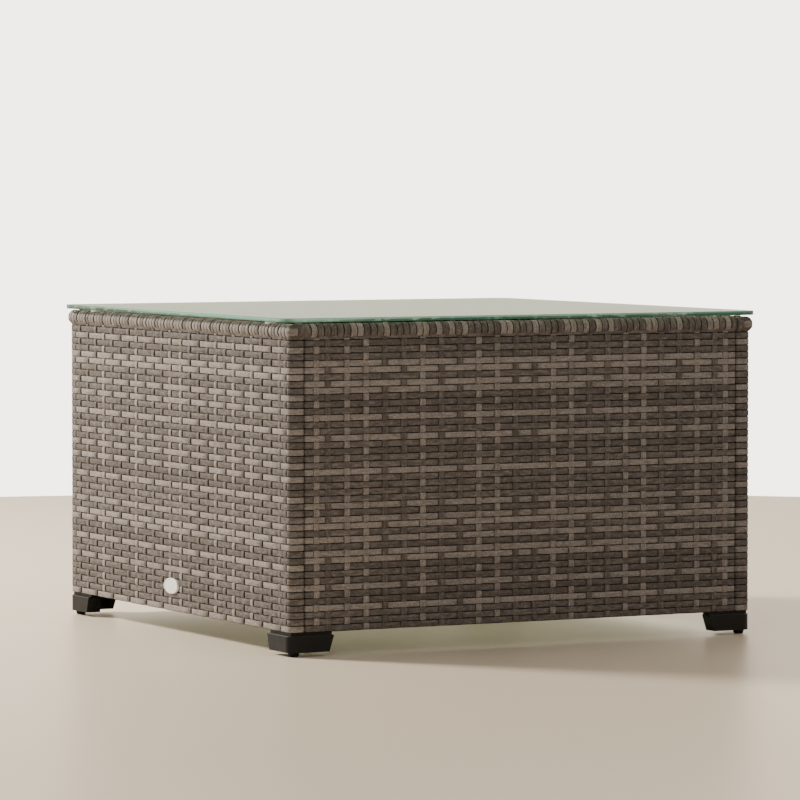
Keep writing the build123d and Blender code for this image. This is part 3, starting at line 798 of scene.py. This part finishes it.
roundPosts = (faceX, postHigh, weftTurn["postRadius"])
roundUprights = (-uprightLow.x + weftTurn["uprightCover"], uprightHigh, weftTurn["uprightRadius"])
panels = dict(
    left=weavePanel("leftPanel", sidePanel, *roundPosts, -quarter, 11),
    right=weavePanel("rightPanel", sidePanel, *roundPosts, quarter, 12),
    front=weavePanel("frontPanel", endPanel, *roundUprights, 0.0, 13),
    back=weavePanel("backPanel", endPanel, *roundUprights, 2 * quarter, 14),
)
for side, made in panels.items():
    for piece in made:
        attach(piece, "frame")
    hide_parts(side + "_weave")
print("panels woven")


# the windings of the four top rails

railPlan = dict(
    turnPitch=8.4 * mm,
    thickness=1.6 * mm,
    flare=0.65 * mm,
    groove=0.9 * mm,  # between neighbouring turns
    edge=0.5 * mm,
    stepsRound=32,
    step=1.9 * mm,
    wobble=0.7 * mm,
    wobbleLength=90 * mm,
    unevenness=0.12,  # millimetres along the rail
)
endWinding = dict(tones="DLDDDDDLLDDDLDDDDLLDLDL", bunch=1, bunchGap=0.0, toneSpread=1.0)
sideWinding = dict(  # wound with a few strands at a time
    tones="LLDLLLDLLLLDLL", bunch=3, bunchGap=1.7 * mm, toneSpread=0.55
)


def windRail(name, side, turn, winding, seed):
    dice = random.Random(seed)
    low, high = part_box(side + "_rail_wrap")
    thickness = railPlan["thickness"]
    radius = (high.z - low.z) / 2 - thickness / 2
    centreZ = (high.z + low.z) / 2
    across = low.x if abs(high.x - low.x) < abs(high.y - low.y) else low.y
    centreY = -(abs(across + radius + thickness / 2))  # as if it were the front rail
    steps = railPlan["stepsRound"]
    ring = [
        (radius * math.cos(2 * math.pi * step / steps), radius * math.sin(2 * math.pi * step / steps))
        for step in range(steps)
    ]
    halfLength = max(high.x - low.x, high.y - low.y) / 2
    count = round(2 * halfLength / railPlan["turnPitch"])
    bunch, gap, toneOrder = winding["bunch"], winding["bunchGap"], winding["tones"]
    width = (2 * halfLength - count // bunch * gap) / count
    uneven = railPlan["unevenness"]
    rows = []
    reach = -halfLength
    for place in range(count):
        height = reach + width / 2 + dice.uniform(-uneven, uneven) * mm
        tone = toneOf(toneOrder[place % len(toneOrder)], dice)
        rows.append(dict(height=height, sign=1.0, shade=0.5 + (tone - 0.5) * winding["toneSpread"]))
        reach += width + (gap if place % bunch == bunch - 1 else 0.0)
    return layStrands(
        name, ring, rows, aboutZ(turn) @ rowsAcross(centreY, centreZ), closed=True,
        **{"Width": width - railPlan["groove"], "Thickness": thickness, "Flare": railPlan["flare"],
           "Edge": railPlan["edge"], "Step": railPlan["step"], "Wobble": railPlan["wobble"],
           "Wobble Length": railPlan["wobbleLength"], "Seed": float(seed), "Finish": strandPlastic},
    )


windings = dict(
    left=windRail("leftRailWinding", "left", -quarter, sideWinding, 21),
    right=windRail("rightRailWinding", "right", quarter, sideWinding, 22),
    front=windRail("frontRailWinding", "front", 0.0, endWinding, 23),
    back=windRail("backRailWinding", "back", 2 * quarter, endWinding, 24),
)
for side, piece in windings.items():
    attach(piece, "frame")
    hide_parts(side + "_rail_wrap")
print("rails wound")


# the strand ends tucked over the ends of the two side rails

endStrap = dict(
    width=8.6 * mm,
    thickness=1.5 * mm,
    edge=0.6 * mm,
    start=303.0 * mm,  # beside the last winding
    stop=292.5 * mm,
    proud=305.3 * mm,
    outerTail=3.4 * mm,
    innerTail=2.6 * mm,
    outerRadius=1.9 * mm,
    innerRadius=1.3 * mm,
    step=0.9 * mm,
    wobble=0.2 * mm,
)
crossStrap = dict(
    width=7.8 * mm,
    edge=0.5 * mm,
    at=287.4 * mm,
    bend=9.0 * mm,
    upDown=9.3 * mm,
    arc=(-15, 175, 10),  # from, to and step in degrees
    step=1.6 * mm,
    wobble=0.3 * mm,
)


def capStraps(name, turn, seed):
    dice = random.Random(seed)
    centreZ = (sideRailLow.z + sideRailHigh.z) / 2
    front = -(endStrap["proud"] - endStrap["thickness"] / 2)
    outer, inner = endStrap["start"], endStrap["stop"]
    made = []
    for side in (-1, 1):
        corners = [(-outer, front + endStrap["outerTail"]), (-outer, front),
                   (-inner, front), (-inner, front + endStrap["innerTail"])]
        radii = [endStrap["outerRadius"], endStrap["innerRadius"]]
        if side > 0:
            corners = [(-x, y) for x, y in reversed(corners)]
            radii = radii[::-1]
        rows = [dict(height=centreZ, sign=1.0, shade=toneOf("L", dice))]
        made.append(layStrands(
            name + ("Left" if side < 0 else "Right"), roundedLine(corners, radii), rows, aboutZ(turn),
            **{"Width": endStrap["width"], "Thickness": endStrap["thickness"], "Edge": endStrap["edge"],
               "Step": endStrap["step"], "Wobble": endStrap["wobble"], "Seed": seed + side,
               "Finish": strandPlastic},
        ))

    # over the top, down across the end and under
    bend, upDown = crossStrap["bend"], crossStrap["upDown"]
    first, last, step = crossStrap["arc"]
    arc = []
    for degrees in range(first, last + 1, step):
        angle = math.radians(degrees)
        arc.append((-upDown * math.cos(angle), front + bend - bend * math.sin(angle)))
    rows = [dict(height=side * crossStrap["at"], sign=1.0, shade=toneOf("D", dice)) for side in (-1, 1)]
    made.append(layStrands(
        name + "Cross", arc, rows, aboutZ(turn) @ rowsAcross(z=centreZ),
        **{"Width": crossStrap["width"], "Thickness": endStrap["thickness"], "Edge": crossStrap["edge"],
           "Step": crossStrap["step"], "Wobble": crossStrap["wobble"], "Seed": seed + 5.0,
           "Finish": strandPlastic},
    ))
    return made


for name, turn, seed in (("frontCapStrap", 0.0, 31), ("backCapStrap", 2 * quarter, 32)):
    for piece in capStraps(name, turn, seed):
        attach(piece, "frame")
print("rail ends strapped")


# stage, light and camera

stageLook = dict(
    floorRadius=2.3,
    floorDrop=0.2 * mm,  # below the glides
    floorDark=(0.72, 0.60, 0.44, 1.0),
    floorLight=(0.79, 0.67, 0.50, 1.0),
    floorRoughness=0.34,
    floorGloss=0.4,
    floorClouds=(0.8, 2.0, 1.0),
    keyPlace=(-2.0, 2.05, 1.95),
    keyAim=(0.0, 0.0, 0.15),
    keySize=0.8,
    keyPower=228.0,
    keyColor=(1.0, 0.96, 0.91),
    backdrop=(4.9, 4.45, 4.1),
    mirrored=(1.07, 1.07, 0.81),
    glossy=(2.1, 1.82, 1.45),
    dome=0.55,
    domeTint=(1.0, 0.985, 0.97),
)
view = dict(
    place=(-2.6973, -5.1235, 0.5536),
    down=2.8167,  # degrees below level
    turned=-27.731,  # degrees about Z
    lens=217.3,
    sensor=36.0,
    reach=50.0,  # nothing further is drawn
)


def makeFloor():
    material, tree, shader = newMaterial(
        "paleFloor", stageLook["floorDark"][:3], stageLook["floorRoughness"],
        **{"Specular IOR Level": stageLook["floorGloss"]},
    )
    spread = vectorCalc(tree, "MULTIPLY", objectPlace(tree), stageLook["floorClouds"])
    clouds = noiseOn(tree, spread, detail=3.0)
    color = mixColor(tree, clouds, stageLook["floorDark"], stageLook["floorLight"])
    feed(tree, shader.inputs["Base Color"], color)
    mesh = bpy.data.meshes.new("floor")
    disc = bmesh.new()
    bmesh.ops.create_circle(disc, cap_ends=True, segments=96, radius=stageLook["floorRadius"])
    bmesh.ops.translate(disc, verts=disc.verts, vec=(0.0, 0.0, -stageLook["floorDrop"]))
    disc.to_mesh(mesh)
    disc.free()
    mesh.materials.append(material)
    floor = bpy.data.objects.new("floor", mesh)
    bpy.context.collection.objects.link(floor)


def makeKeyLight():
    light = bpy.data.lights.new("key", "AREA")
    light.shape = "DISK"
    light.size = stageLook["keySize"]
    light.energy = stageLook["keyPower"]
    light.color = stageLook["keyColor"]
    lamp = bpy.data.objects.new("key", light)
    lamp.location = stageLook["keyPlace"]
    lamp.rotation_mode = "QUATERNION"
    aim = Vector(stageLook["keyAim"]) - Vector(stageLook["keyPlace"])
    lamp.rotation_quaternion = aim.to_track_quat("-Z", "Y")
    bpy.context.collection.objects.link(lamp)


# a cream studio: bright where it is seen or mirrored, gentler as a light
def makeWorld():
    world = bpy.data.worlds.new("studio")
    world.use_nodes = True
    tree = world.node_tree
    background = tree.nodes["Background"]
    ray = addNode(tree, "ShaderNodeLightPath")
    notDiffuse = calc(tree, "LESS_THAN", ray.outputs["Diffuse Depth"], 0.5)
    mirrored = calc(tree, "MULTIPLY", ray.outputs["Is Singular Ray"], notDiffuse)
    lit = tuple(stageLook["dome"] * tint for tint in stageLook["domeTint"]) + (1.0,)
    glossy = mixColor(tree, ray.outputs["Is Glossy Ray"], lit, (*stageLook["glossy"], 1.0))
    soft = mixColor(tree, mirrored, glossy, (*stageLook["mirrored"], 1.0))
    color = mixColor(tree, ray.outputs["Is Camera Ray"], soft, (*stageLook["backdrop"], 1.0))
    feed(tree, background.inputs["Color"], color)
    bpy.context.scene.world = world


def makeCamera():
    data = bpy.data.cameras.new("camera")
    data.sensor_width = view["sensor"]
    data.lens = view["lens"]
    data.clip_end = view["reach"]
    camera = bpy.data.objects.new("camera", data)
    camera.location = view["place"]
    camera.rotation_euler = Euler((math.radians(90 - view["down"]), 0.0, math.radians(view["turned"])))
    bpy.context.collection.objects.link(camera)
    bpy.context.scene.camera = camera


makeFloor()
makeWorld()
makeKeyLight()
makeCamera()
print("stage set")
